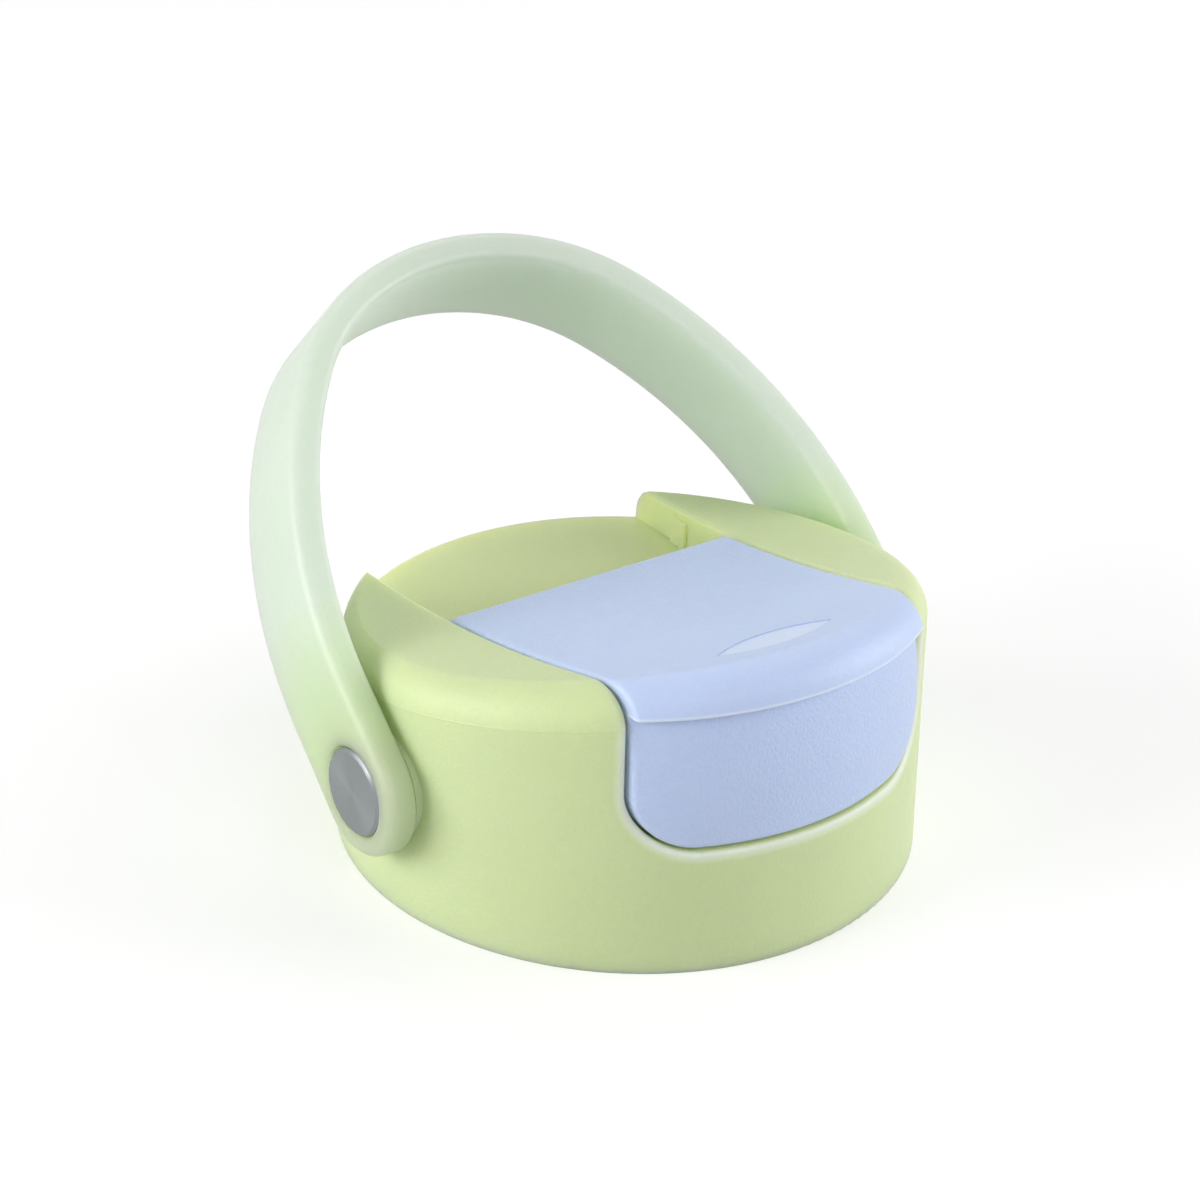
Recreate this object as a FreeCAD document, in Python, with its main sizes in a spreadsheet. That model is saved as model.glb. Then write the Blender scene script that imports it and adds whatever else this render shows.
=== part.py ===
import FreeCAD, Part
import math
import os

# Sip cap for a wide-mouth drinking bottle, in millimetres.
# X to the right, the drinking side at -Y, Z up, origin on the cap's axis at its base plane.

doc = FreeCAD.newDocument("sip_cap")
sheet = doc.addObject("Spreadsheet::Sheet", "Sizes")

SIZES = [
    # bottle neck and the walls stacked around it
    ("neck_radius", "28.6"),
    ("liner_wall", "2.4"),
    ("flange_width", "2.2"),
    ("shell_wall", "2.8"),
    # outer form of the cap
    ("wall_draft", "1.25"),
    ("draft_height", "50"),
    ("base_round", "0.2"),
    ("sweep_start", "15"),
    ("front_slope_angle", "14.7"),
    ("ramp_height", "33.98"),
    ("ramp_sweep", "185"),
    ("ramp_rear_angle", "3"),
    ("dome_rise", "0.1"),
    ("dome_sweep", "150"),
    ("dome_rear_angle", "1"),
    ("shoulder_round", "4.6"),
    # slot between the cheeks, rear deck, well and front cutout
    ("slot_half", "21.3"),
    ("deck_height", "23.4"),
    ("deck_gap", "0.9"),
    ("floor_thick", "2"),
    ("recess_depth", "3.8"),
    ("cutout_bottom", "16"),
    ("cutout_corner", "7.6"),
    ("rim_round", "0.6"),
    ("stop_rib_y", "17.4"),
    ("stop_rib_length", "2.8"),
    ("stop_rib_rise", "3.6"),
    ("stop_rib_depth", "0.5"),
    # inside of the shell
    ("liner_gap", "0.3"),
    ("ledge_thick", "2.4"),
    ("cheek_wall", "2.2"),
    ("roof_thick", "2.4"),
    ("pocket_step", "1.2"),
    # inner cap with the neck thread
    ("liner_top", "18"),
    ("flange_gap", "0.1"),
    ("flange_thick", "1.8"),
    ("entry_step", "0.6"),
    ("entry_depth", "3"),
    ("neck_top", "14.8"),
    ("thread_pitch", "4"),
    ("thread_turns", "1.5"),
    ("thread_depth", "1"),
    ("thread_root", "2.2"),
    ("thread_crest", "0.9"),
    ("thread_start", "4.9"),
    ("thread_sink", "0.3"),
    # gaskets and valve
    ("gasket_width", "5"),
    ("gasket_thick", "1.6"),
    ("gasket_gap", "0.15"),
    ("vent_offset", "4"),
    ("vent_clearance", "0.6"),
    ("valve_stem", "1.2"),
    ("valve_bulb", "1.8"),
    ("valve_skirt", "3.4"),
    ("valve_fit", "0.05"),
    ("valve_skirt_thick", "0.7"),
    ("valve_bulb_rise", "1.4"),
    ("valve_nose", "0.8"),
    # spout
    ("spout_drop", "4.58"),
    ("spout_root_radius", "7.2"),
    ("spout_tip_radius", "6.2"),
    ("spout_bore", "4.4"),
    ("spout_flange", "9.6"),
    ("spout_flange_thick", "1.1"),
    ("spout_seal_thick", "0.8"),
    ("spout_gap", "0.15"),
    ("seal_inset", "0.5"),
    ("seal_width", "1.6"),
    ("spout_round", "0.7"),
    # lid and its hinge
    ("hinge_y", "9.5"),
    ("hinge_drop", "8.08"),
    ("pin_radius", "1"),
    ("pin_fit", "0.05"),
    ("pin_end_gap", "0.3"),
    ("barrel_radius", "2.2"),
    ("lid_gap", "0.3"),
    ("lid_rear", "8.35"),
    ("lid_skin", "2"),
    ("lip_proud", "0.5"),
    ("lip_drop", "0.08"),
    ("lip_bow", "0.8"),
    ("scoop_depth", "2"),
    ("scoop_sweep", "60"),
    ("toe_depth", "0.7"),
    ("lid_edge_round", "0.8"),
    ("crease_round", "0.3"),
    ("skirt_step", "0.8"),
    ("toe_clearance", "0.45"),
    ("mark_half", "8.4"),
    ("mark_inset", "9.7"),
    ("mark_bow", "2.3"),
    ("mark_depth", "0.15"),
    ("liner_plate", "1.6"),
    ("liner_margin", "0.3"),
    ("plug_collar", "7.6"),
    ("plug_disc", "6.4"),
    ("plug_thick", "1.2"),
    ("plug_sink", "0.6"),
    ("plug_reach", "1.6"),
    ("plug_clearance", "0.3"),
    ("plug_taper", "0.4"),
    # handle, its rivets, bushes, washers and clips
    ("pivot_height", "15.7"),
    ("boss_radius", "7"),
    ("seat_depth", "3.4"),
    ("seat_radius", "5.4"),
    ("shaft_radius", "2.5"),
    ("shaft_fit", "0.1"),
    ("washer_thick", "0.35"),
    ("washer_radius", "6.2"),
    ("slip_gap", "0.05"),
    ("handle_lean_angle", "46.8"),
    ("handle_thick", "3.9"),
    ("handle_top", "61.3"),
    ("crown_radius", "33.6"),
    ("crown_angle", "21"),
    ("corner_radius", "28.8"),
    ("corner_angle", "51.2"),
    ("eye_radius", "8.1"),
    ("front_turn_angle", "2.2"),
    ("back_turn_angle", "0.9"),
    ("front_sweep", "1345"),
    ("back_sweep", "349"),
    ("crown_front", "4.05"),
    ("crown_back", "13.2"),
    ("strap_round", "1.3"),
    ("strap_inner_round", "0.9"),
    ("bush_radius", "3.7"),
    ("head_radius", "5.4"),
    ("head_thick", "1.7"),
    ("head_proud", "0.15"),
    ("head_bevel", "0.35"),
    ("head_gap", "0.3"),
    ("clip_radius", "4.6"),
    ("clip_thick", "0.8"),
    ("tail_reach", "0.3"),
    # how far a cutting body runs past what it cuts
    ("overrun", "5"),
]

DERIVED = [
    ("liner_radius", "=neck_radius + liner_wall"),
    ("cavity_radius", "=liner_radius + flange_width"),
    ("base_radius", "=cavity_radius + shell_wall"),
    ("wall_tip_radius", "=base_radius - wall_draft"),
    ("recess_radius", "=base_radius - recess_depth"),
    ("sweep_far", "=base_radius + 2 * overrun"),
    ("sweep_sky", "=draft_height + 2 * overrun"),
    ("spout_height", "=ramp_height - spout_drop"),
    ("hinge_z", "=ramp_height - hinge_drop"),
    ("lip_height", "=ramp_height - lip_drop"),
    ("ramp_far", "=ramp_height + (sweep_far - sweep_start) * tan(front_slope_angle)"),
    ("ramp_end", "=ramp_sweep * (sin(front_slope_angle) - sin(ramp_rear_angle)) - sweep_start"),
    ("ramp_end_height", "=ramp_height - ramp_sweep * (cos(ramp_rear_angle) - cos(front_slope_angle))"),
    ("ramp_back", "=ramp_end_height - (sweep_far - ramp_end) * tan(ramp_rear_angle)"),
    ("dome_height", "=ramp_height + dome_rise"),
    ("dome_far", "=dome_height + (sweep_far - sweep_start) * tan(front_slope_angle)"),
    ("dome_end", "=dome_sweep * (sin(front_slope_angle) - sin(dome_rear_angle)) - sweep_start"),
    ("dome_end_height", "=dome_height - dome_sweep * (cos(dome_rear_angle) - cos(front_slope_angle))"),
    ("dome_back", "=dome_end_height - (sweep_far - dome_end) * tan(dome_rear_angle)"),
    ("well_floor", "=liner_top + floor_thick"),
    ("deck_front", "=hinge_y + barrel_radius + deck_gap"),
    ("deck_core_front", "=deck_front + cheek_wall"),
    ("deck_core_top", "=deck_height - cheek_wall"),
    ("core_radius", "=liner_radius + liner_gap"),
    ("ledge_under", "=cutout_bottom - ledge_thick"),
    ("cheek_core", "=slot_half + cheek_wall"),
    ("cutout_knee", "=cutout_bottom + cutout_corner"),
    ("cutout_flat", "=slot_half - cutout_corner"),
    ("stop_rib_face", "=slot_half - stop_rib_depth"),
    ("lid_half", "=slot_half - lid_gap"),
    ("lid_corner", "=cutout_corner - lid_gap"),
    ("toe_bottom", "=cutout_bottom + lid_gap"),
    ("lid_knee", "=toe_bottom + lid_corner"),
    ("lid_flat", "=lid_half - lid_corner"),
    ("toe_inner", "=recess_radius + toe_clearance"),
    ("lid_base_radius", "=base_radius + lip_proud"),
    ("lid_tip_radius", "=wall_tip_radius + lip_proud"),
    ("lip_side", "=lip_height - lip_bow"),
    ("lip_sweep", "=(slot_half ^ 2 + lip_bow ^ 2) / (2 * lip_bow)"),
    ("toe_radius", "=base_radius - toe_depth"),
    ("scoop_head", "=lip_height + overrun"),
    ("scoop_radius", "=wall_tip_radius - scoop_depth"),
    ("scoop_far", "=base_radius + overrun"),
    ("skirt_inner", "=recess_radius - skirt_step"),
    ("lid_core_half", "=lid_half - lid_skin"),
    ("lid_core_rear", "=lid_rear - lid_skin"),
    ("flange_radius", "=cavity_radius - flange_gap"),
    ("entry_radius", "=neck_radius + entry_step"),
    ("entry_top", "=entry_depth + entry_step"),
    ("neck_groove", "=neck_top - gasket_thick"),
    ("seal_floor", "=liner_top - spout_flange_thick - spout_seal_thick"),
    ("spout_flange_under", "=liner_top - spout_flange_thick"),
    ("spout_y", "=spout_flange - neck_radius"),
    ("vent_y", "=-vent_offset"),
    ("boss_face", "=base_radius - wall_draft * (pivot_height - washer_radius) / draft_height + slip_gap"),
    ("seat_face", "=boss_face - seat_depth"),
    ("handle_inner", "=boss_face + washer_thick + slip_gap"),
    ("handle_outer", "=handle_inner + handle_thick"),
    ("head_face", "=handle_outer + head_proud"),
    ("head_under", "=head_face - head_thick"),
    ("eye_floor", "=head_under - shaft_fit"),
    ("head_well", "=head_radius + head_gap"),
    ("shaft_hole", "=shaft_radius + shaft_fit"),
    ("clip_face", "=seat_face - clip_thick"),
    ("tail_face", "=clip_face - tail_reach"),
    ("thread_low", "=thread_start - thread_root / 2"),
    ("thread_high", "=thread_start + thread_root / 2"),
    ("thread_crest_low", "=thread_start - thread_crest / 2"),
    ("thread_crest_high", "=thread_start + thread_crest / 2"),
    ("thread_outer", "=neck_radius + thread_sink"),
    ("thread_inner", "=neck_radius - thread_depth"),
    ("gasket_outer", "=neck_radius - gasket_gap"),
    ("gasket_inner", "=neck_radius - gasket_width"),
    ("valve_under", "=neck_top - valve_skirt_thick"),
    ("valve_top", "=liner_top + valve_bulb_rise"),
    ("seal_outer", "=spout_flange - seal_inset"),
    ("seal_inner", "=seal_outer - seal_width"),
    ("plug_under", "=spout_height + slip_gap"),
    ("plug_top", "=plug_under + plug_thick"),
    ("plug_nose", "=plug_under - plug_reach"),
    ("plug_radius", "=spout_bore - plug_clearance"),
    ("plug_tip", "=plug_radius - plug_taper"),
    ("collar_under", "=plug_top - plug_sink"),
    ("mark_y", "=mark_inset - base_radius"),
    ("mark_radius", "=(mark_half ^ 2 + mark_bow ^ 2) / (2 * mark_bow)"),
    ("bevel_start", "=head_face - head_bevel"),
    ("bevel_radius", "=head_radius - head_bevel"),
    ("crown_x", "=crown_radius * sin(crown_angle)"),
    ("crown_z", "=handle_top - crown_radius * (1 - cos(crown_angle))"),
    ("corner_x", "=crown_x + corner_radius * (sin(corner_angle) - sin(crown_angle))"),
    ("corner_z", "=crown_z - corner_radius * (cos(crown_angle) - cos(corner_angle))"),
    ("leg_radius", "=(handle_inner + handle_thick / 2 - corner_x) / (1 - sin(corner_angle))"),
    ("leg_z", "=corner_z - leg_radius * cos(corner_angle)"),
    ("outer_crown", "=crown_radius + handle_thick / 2"),
    ("inner_crown", "=crown_radius - handle_thick / 2"),
    ("outer_corner", "=corner_radius + handle_thick / 2"),
    ("inner_corner", "=corner_radius - handle_thick / 2"),
    ("outer_leg", "=leg_radius + handle_thick / 2"),
    ("inner_leg", "=leg_radius - handle_thick / 2"),
    ("outer_crown_x", "=crown_x + handle_thick / 2 * sin(crown_angle)"),
    ("outer_crown_z", "=crown_z + handle_thick / 2 * cos(crown_angle)"),
    ("outer_corner_x", "=corner_x + handle_thick / 2 * sin(corner_angle)"),
    ("outer_corner_z", "=corner_z + handle_thick / 2 * cos(corner_angle)"),
    ("inner_crown_x", "=crown_x - handle_thick / 2 * sin(crown_angle)"),
    ("inner_crown_z", "=crown_z - handle_thick / 2 * cos(crown_angle)"),
    ("inner_corner_x", "=corner_x - handle_thick / 2 * sin(corner_angle)"),
    ("inner_corner_z", "=corner_z - handle_thick / 2 * cos(corner_angle)"),
    ("strap_low", "=eye_radius + overrun"),
    ("strap_high", "=handle_top + handle_thick"),
    ("eye_front_y", "=eye_radius * cos(front_turn_angle)"),
    ("eye_front_z", "=eye_radius * sin(front_turn_angle)"),
    ("eye_back_y", "=eye_radius * cos(back_turn_angle)"),
    ("eye_back_z", "=eye_radius * sin(back_turn_angle)"),
]


def fill_sheet():
    row = 1
    for name, text in SIZES + DERIVED:
        sheet.set("A%d" % row, name)
        sheet.set("B%d" % row, text)
        sheet.setAlias("B%d" % row, name)
        row += 1
    doc.recompute()


fill_sheet()


def size(name):
    """Number in the sheet; a leading minus sign turns it round."""
    if isinstance(name, (int, float)):
        return float(name)
    if name.startswith("-"):
        return -float(sheet.get(name[1:]))
    return float(sheet.get(name))


def cell(name):
    """Expression text for a cell; a leading minus sign turns it round."""
    if isinstance(name, (int, float)):
        return "%s" % name
    if name.startswith("-"):
        return "-Sizes.%s" % name[1:]
    return "Sizes.%s" % name


def bind(thing, **pairs):
    for prop, name in pairs.items():
        thing.setExpression(prop, cell(name))


def plane_of(body, role):
    for feature in body.Origin.OriginFeatures:
        if feature.Role == role:
            return feature
    raise ValueError(role)


def new_sketch(body, role, name):
    sketch = body.newObject("Sketcher::SketchObject", name)
    sketch.AttachmentSupport = (plane_of(body, role), [""])
    sketch.MapMode = "FlatFace"
    return sketch


def pin_point(sketch, edge, end, place):
    """Dimension one sketch point from the sketch's origin."""
    import Sketcher
    for axis, kind, line in ((0, "DistanceX", -2), (1, "DistanceY", -1)):
        number = size(place[axis])
        if isinstance(place[axis], (int, float)) and number == 0:
            sketch.addConstraint(Sketcher.Constraint("PointOnObject", edge, end, line))
            continue
        index = sketch.addConstraint(Sketcher.Constraint(kind, -1, 1, edge, end, number))
        if not isinstance(place[axis], (int, float)):
            sketch.setExpression("Constraints[%d]" % index, cell(place[axis]))


def outline(sketch, corners, bends=None):
    """Closed outline through dimensioned corners; bends maps an edge to (radius, side)."""
    import Sketcher
    bends = bends or {}
    count = len(corners)
    points = [FreeCAD.Vector(size(c[0]), size(c[1]), 0) for c in corners]
    first = []
    last = []
    for i in range(count):
        a = points[i]
        b = points[(i + 1) % count]
        if i in bends:
            radius_name, side = bends[i]
            radius = size(radius_name)
            chord = b.sub(a)
            middle = a.add(b).multiply(0.5)
            left = FreeCAD.Vector(-chord.y, chord.x, 0).normalize()
            depth = math.sqrt(max(radius ** 2 - (chord.Length / 2) ** 2, 0.0))
            centre = middle.add(left.multiply(depth * side))
            begin, finish = (a, b) if side > 0 else (b, a)
            start = math.atan2(begin.y - centre.y, begin.x - centre.x)
            stop = math.atan2(finish.y - centre.y, finish.x - centre.x)
            if stop <= start:
                stop += 2 * math.pi
            ring = Part.Circle(centre, FreeCAD.Vector(0, 0, 1), radius)
            sketch.addGeometry(Part.ArcOfCircle(ring, start, stop), False)
            first.append(1 if side > 0 else 2)
            last.append(2 if side > 0 else 1)
        else:
            sketch.addGeometry(Part.LineSegment(a, b), False)
            first.append(1)
            last.append(2)
    for i in range(count):
        j = (i + 1) % count
        sketch.addConstraint(Sketcher.Constraint("Coincident", i, last[i], j, first[j]))
    for i in range(count):
        pin_point(sketch, i, first[i], corners[i])
    for i, (radius_name, side) in bends.items():
        index = sketch.addConstraint(Sketcher.Constraint("Radius", i, size(radius_name)))
        sketch.setExpression("Constraints[%d]" % index, cell(radius_name))
    return sketch


def slab(name, role, corners, length, bends=None, both=True):
    """Body with one prism of an outline, to both sides of its plane or to one side."""
    body = doc.addObject("PartDesign::Body", name)
    sketch = outline(new_sketch(body, role, name + "_outline"), corners, bends)
    pad = body.newObject("PartDesign::Pad", name + "_prism")
    pad.Profile = sketch
    pad.SideType = "Symmetric" if both else "One side"
    pad.setExpression("Length", length)
    sketch.Visibility = False
    return body


def turned(name, corners, bends=None):
    """Body turned about Z from an outline of radius and height pairs."""
    body = doc.addObject("PartDesign::Body", name)
    sketch = outline(new_sketch(body, "XZ_Plane", name + "_outline"), corners, bends)
    spin = body.newObject("PartDesign::Revolution", name + "_turn")
    spin.Profile = sketch
    spin.ReferenceAxis = (sketch, ["V_Axis"])
    spin.Angle = 360
    sketch.Visibility = False
    return body


def rod(name, radius, start, length, x="0", y="0", along="Z"):
    """Cylinder whose radius, length and place are expressions."""
    thing = doc.addObject("Part::Cylinder", name)
    thing.setExpression("Radius", radius)
    thing.setExpression("Height", length)
    if along == "X":
        thing.Placement.Rotation = FreeCAD.Rotation(FreeCAD.Vector(0, 1, 0), 90)
        thing.setExpression(".Placement.Base.x", start)
        thing.setExpression(".Placement.Base.y", x)
        thing.setExpression(".Placement.Base.z", y)
    else:
        thing.setExpression(".Placement.Base.x", x)
        thing.setExpression(".Placement.Base.y", y)
        thing.setExpression(".Placement.Base.z", start)
    return thing


def block(name, x0, y0, z0, dx, dy, dz):
    """Box whose corner and sides are expressions."""
    thing = doc.addObject("Part::Box", name)
    thing.setExpression("Length", dx)
    thing.setExpression("Width", dy)
    thing.setExpression("Height", dz)
    thing.setExpression(".Placement.Base.x", x0)
    thing.setExpression(".Placement.Base.y", y0)
    thing.setExpression(".Placement.Base.z", z0)
    return thing


def cut(name, base, tool):
    thing = doc.addObject("Part::Cut", name)
    thing.Base = base
    thing.Tool = tool
    return thing


def fuse(name, things):
    thing = doc.addObject("Part::MultiFuse", name)
    thing.Shapes = things
    return thing


def common(name, base, tool):
    thing = doc.addObject("Part::Common", name)
    thing.Base = base
    thing.Tool = tool
    return thing


def mirrored(name, source):
    """Copy on the other side of the YZ plane."""
    thing = doc.addObject("Part::Mirroring", name)
    thing.Source = source
    thing.Normal = FreeCAD.Vector(1, 0, 0)
    return thing


def edges_where(thing, test):
    doc.recompute()
    return [i + 1 for i, edge in enumerate(thing.Shape.Edges) if test(edge)]


def rounded(name, thing, test, radius):
    """Rounds the edges that pass the test."""
    picks = edges_where(thing, test)
    result = doc.addObject("Part::Fillet", name)
    result.Base = thing
    result.Edges = [(i, size(radius), size(radius)) for i in picks]
    doc.recompute()
    return result


def middle(edge):
    return edge.valueAt((edge.FirstParameter + edge.LastParameter) / 2)


def below_ramp(name, drop):
    """Everything under the swept top face once that face is lowered by a drop."""
    body = slab(name, "YZ_Plane", [
        ("-sweep_far", 0), ("sweep_far", 0), ("sweep_far", "ramp_back"), ("ramp_end", "ramp_end_height"),
        ("-sweep_start", "ramp_height"), ("-sweep_far", "ramp_far"),
    ], "2 * Sizes.sweep_far", {3: ("ramp_sweep", -1)})
    body.setExpression(".Placement.Base.z", "-" + drop)
    return body


def tube(name, outer, inner, start, length):
    """Round tube along X on the handle's pivot axis."""
    return cut(name,
               rod(name + "_body", outer, start, length, "0", "Sizes.pivot_height", "X"),
               rod(name + "_hole", inner, start + " - Sizes.overrun", length + " + 2 * Sizes.overrun", "0",
                   "Sizes.pivot_height", "X"))


NODES = []


def node(thing, label):
    thing.Label = label
    NODES.append(thing)
    return thing


# Outer form shared by the shell and the lid.
wall = doc.addObject("Part::Cone", "wall_form")
bind(wall, Radius1="base_radius", Radius2="wall_tip_radius", Height="draft_height")
dome_sky = slab("dome_sky", "YZ_Plane", [
    ("-sweep_far", "sweep_sky"), ("-sweep_far", "dome_far"), ("-sweep_start", "dome_height"),
    ("dome_end", "dome_end_height"), ("sweep_far", "dome_back"), ("sweep_far", "sweep_sky"),
], "2 * Sizes.sweep_far", {2: ("dome_sweep", 1)})
ramp_sky = slab("ramp_sky", "YZ_Plane", [
    ("-sweep_far", "sweep_sky"), ("-sweep_far", "ramp_far"), ("-sweep_start", "ramp_height"),
    ("ramp_end", "ramp_end_height"), ("sweep_far", "ramp_back"), ("sweep_far", "sweep_sky"),
], "2 * Sizes.sweep_far", {2: ("ramp_sweep", 1)})
form_raw = cut("form_raw", wall, dome_sky)


def reach(edge):
    """Distance of an edge's middle from the cap's axis."""
    return math.hypot(middle(edge).x, middle(edge).y)


def at_shoulder(edge):
    """Outer edge of the domed top."""
    return edge.BoundBox.ZMin > size("deck_height") and reach(edge) > size("neck_radius")


form_soft = rounded("form_soft", form_raw, at_shoulder, "shoulder_round")
form_round = rounded("form_round", form_soft, lambda e: e.BoundBox.ZMax < size("base_round") and
                     reach(e) > size("neck_radius"), "base_round")
form = cut("cap_form", form_round, ramp_sky)

# Cap shell: slot between the cheeks, flat rear deck, well, front cutout.
well = common("well_space",
              block("well_box", "-Sizes.slot_half", "-Sizes.base_radius", "Sizes.well_floor",
                    "2 * Sizes.slot_half", "Sizes.base_radius + Sizes.deck_front", "Sizes.sweep_sky"),
              rod("well_round", "Sizes.recess_radius", "0", "2 * Sizes.sweep_sky"))
deck = block("deck_space", "-Sizes.slot_half", "Sizes.deck_front", "Sizes.deck_height",
             "2 * Sizes.slot_half", "Sizes.base_radius", "Sizes.sweep_sky")
front = slab("front_window", "XZ_Plane", [
    ("-cutout_flat", "cutout_bottom"), ("cutout_flat", "cutout_bottom"), ("slot_half", "cutout_knee"),
    ("slot_half", "sweep_sky"), ("-slot_half", "sweep_sky"), ("-slot_half", "cutout_knee"),
], "Sizes.sweep_far", {1: ("cutout_corner", 1), 5: ("cutout_corner", 1)}, both=False)
front_space = cut("front_space", front, rod("recess_core", "Sizes.recess_radius", "0", "2 * Sizes.sweep_sky"))
shell_open = cut("shell_open", form, fuse("slot_space", [well, deck, front_space]))


def on_rim(edge):
    """Visible edges of the slot and of the front cutout on the outer skin."""
    box = edge.BoundBox
    spot = middle(edge)
    if abs(spot.x) > size("slot_half") + 0.01 or spot.z < size("cutout_bottom") - 0.01:
        return False
    if box.XLength < 0.01 and box.ZLength < 0.01:
        return False
    if spot.y < 0 and reach(edge) > size("recess_radius") + size("rim_round"):
        return True
    beside_slot = abs(abs(spot.x) - size("slot_half")) < 0.01
    return beside_slot and spot.z > size("hinge_z") + size("pin_radius") and box.YLength > box.ZLength


shell_rim = rounded("shell_rim", shell_open, on_rim, "rim_round")

bosses = []
for side in (-1, 1):
    tag = "left" if side < 0 else "right"
    start = "-Sizes.boss_face" if side < 0 else "Sizes.liner_radius"
    bosses.append(rod("pivot_boss_" + tag, "Sizes.boss_radius", start,
                      "Sizes.boss_face - Sizes.liner_radius", "0", "Sizes.pivot_height", "X"))
shell_solid = fuse("shell_solid", [shell_rim] + bosses)

core = rod("core_space", "Sizes.core_radius", "-Sizes.overrun", "Sizes.liner_top + Sizes.overrun")
ring = rod("ring_space", "Sizes.cavity_radius", "-Sizes.overrun", "Sizes.ledge_under + Sizes.overrun")
under_roof = below_ramp("under_roof", "Sizes.roof_thick")
pocket_round = common("pocket_round", under_roof,
                      rod("pocket_core", "Sizes.cavity_radius - Sizes.pocket_step", "-Sizes.overrun",
                          "2 * Sizes.sweep_sky"))
lower_round = rod("lower_core", "Sizes.cavity_radius", "-Sizes.overrun",
                  "Sizes.pivot_height + Sizes.boss_radius + Sizes.overrun")
cheek_round = fuse("cheek_round", [pocket_round, lower_round])
cheek_boxes = fuse("cheek_boxes", [
    block("cheek_box_left", "-Sizes.base_radius", "-Sizes.base_radius", "-Sizes.overrun",
          "Sizes.base_radius - Sizes.cheek_core", "2 * Sizes.base_radius", "Sizes.sweep_sky"),
    block("cheek_box_right", "Sizes.cheek_core", "-Sizes.base_radius", "-Sizes.overrun",
          "Sizes.base_radius - Sizes.cheek_core", "2 * Sizes.base_radius", "Sizes.sweep_sky")])
cheek_space = common("cheek_space", cheek_boxes, cheek_round)
deck_core = common("deck_core_space",
                   block("deck_core_box", "-Sizes.base_radius", "Sizes.deck_core_front", "-Sizes.overrun",
                         "2 * Sizes.base_radius", "Sizes.base_radius", "Sizes.deck_core_top + Sizes.overrun"),
                   rod("deck_core_round", "Sizes.cavity_radius", "-Sizes.overrun", "Sizes.sweep_sky"))
shell_hollow = cut("shell_hollow", shell_solid, fuse("hollow_space", [core, ring, cheek_space, deck_core]))

seats = []
for side in (-1, 1):
    tag = "left" if side < 0 else "right"
    start = "Sizes.seat_face" if side > 0 else "-Sizes.cavity_radius - Sizes.shell_wall / 2"
    seats.append(rod("clip_seat_" + tag, "Sizes.seat_radius", start,
                     "Sizes.cavity_radius - Sizes.seat_face + Sizes.shell_wall / 2",
                     "0", "Sizes.pivot_height", "X"))
ribs = []
for side in (-1, 1):
    tag = "left" if side < 0 else "right"
    start = "Sizes.stop_rib_face" if side > 0 else "-Sizes.slot_half - Sizes.stop_rib_depth"
    ribs.append(block("stop_rib_" + tag, start, "Sizes.stop_rib_y",
                      "Sizes.deck_height - Sizes.stop_rib_depth",
                      "2 * Sizes.stop_rib_depth", "Sizes.stop_rib_length",
                      "Sizes.stop_rib_rise + Sizes.stop_rib_depth"))
shell_full = fuse("shell_full", [shell_hollow] + seats + ribs)

pivot_bore = rod("pivot_bore", "Sizes.shaft_radius + Sizes.slip_gap", "-Sizes.sweep_far",
                 "2 * Sizes.sweep_far", "0", "Sizes.pivot_height", "X")
pin_bore = rod("pin_bore", "Sizes.pin_radius + Sizes.pin_fit", "-Sizes.cheek_core - Sizes.pin_end_gap",
               "2 * (Sizes.cheek_core + Sizes.pin_end_gap)", "Sizes.hinge_y", "Sizes.hinge_z", "X")
spout_bore = rod("spout_opening", "Sizes.spout_root_radius + Sizes.spout_gap",
                 "Sizes.liner_top - Sizes.floor_thick", "3 * Sizes.floor_thick", "0", "Sizes.spout_y")
vent_bore = rod("vent_opening", "Sizes.valve_bulb + Sizes.vent_clearance",
                "Sizes.liner_top - Sizes.floor_thick", "3 * Sizes.floor_thick", "0", "Sizes.vent_y")
shell_bores = fuse("shell_bores", [pivot_bore, pin_bore, spout_bore, vent_bore])
cap_shell = node(cut("shell_final", shell_full, shell_bores),
                 "cap_shell")

# Inner cap that screws on the bottle, with its coarse neck thread.
inner = turned("inner_cap_body", [
    ("entry_radius", 0), ("flange_radius", 0), ("flange_radius", "flange_thick"),
    ("liner_radius", "flange_thick"), ("liner_radius", "liner_top"), (0, "liner_top"),
    (0, "neck_top"), ("neck_radius", "neck_top"),
    ("neck_radius", "entry_top"), ("entry_radius", "entry_depth"),
])
thread_sketch = outline(new_sketch(inner, "XZ_Plane", "thread_section"), [
    ("thread_outer", "thread_low"), ("thread_outer", "thread_high"),
    ("thread_inner", "thread_crest_high"), ("thread_inner", "thread_crest_low"),
])
thread = inner.newObject("PartDesign::AdditiveHelix", "neck_thread")
thread.Profile = thread_sketch
thread.ReferenceAxis = (thread_sketch, ["V_Axis"])
thread.Mode = "pitch-turns-angle"
thread.setExpression("Pitch", "Sizes.thread_pitch")
thread.setExpression("Turns", "Sizes.thread_turns")
thread_sketch.Visibility = False
doc.recompute()
spout_step = rod("spout_step", "Sizes.spout_flange + Sizes.spout_gap", "Sizes.seal_floor",
                 "Sizes.liner_top - Sizes.seal_floor + Sizes.overrun", "0", "Sizes.spout_y")
spout_way = rod("spout_way", "Sizes.spout_bore + Sizes.spout_gap", "Sizes.neck_top - Sizes.overrun",
                "Sizes.liner_top - Sizes.neck_top + 2 * Sizes.overrun", "0", "Sizes.spout_y")
vent_way = rod("vent_way", "Sizes.valve_stem + Sizes.valve_fit", "Sizes.neck_top - Sizes.overrun",
               "Sizes.liner_top - Sizes.neck_top + 2 * Sizes.overrun", "0", "Sizes.vent_y")
inner_ways = fuse("inner_ways", [spout_step, spout_way, vent_way])
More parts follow.
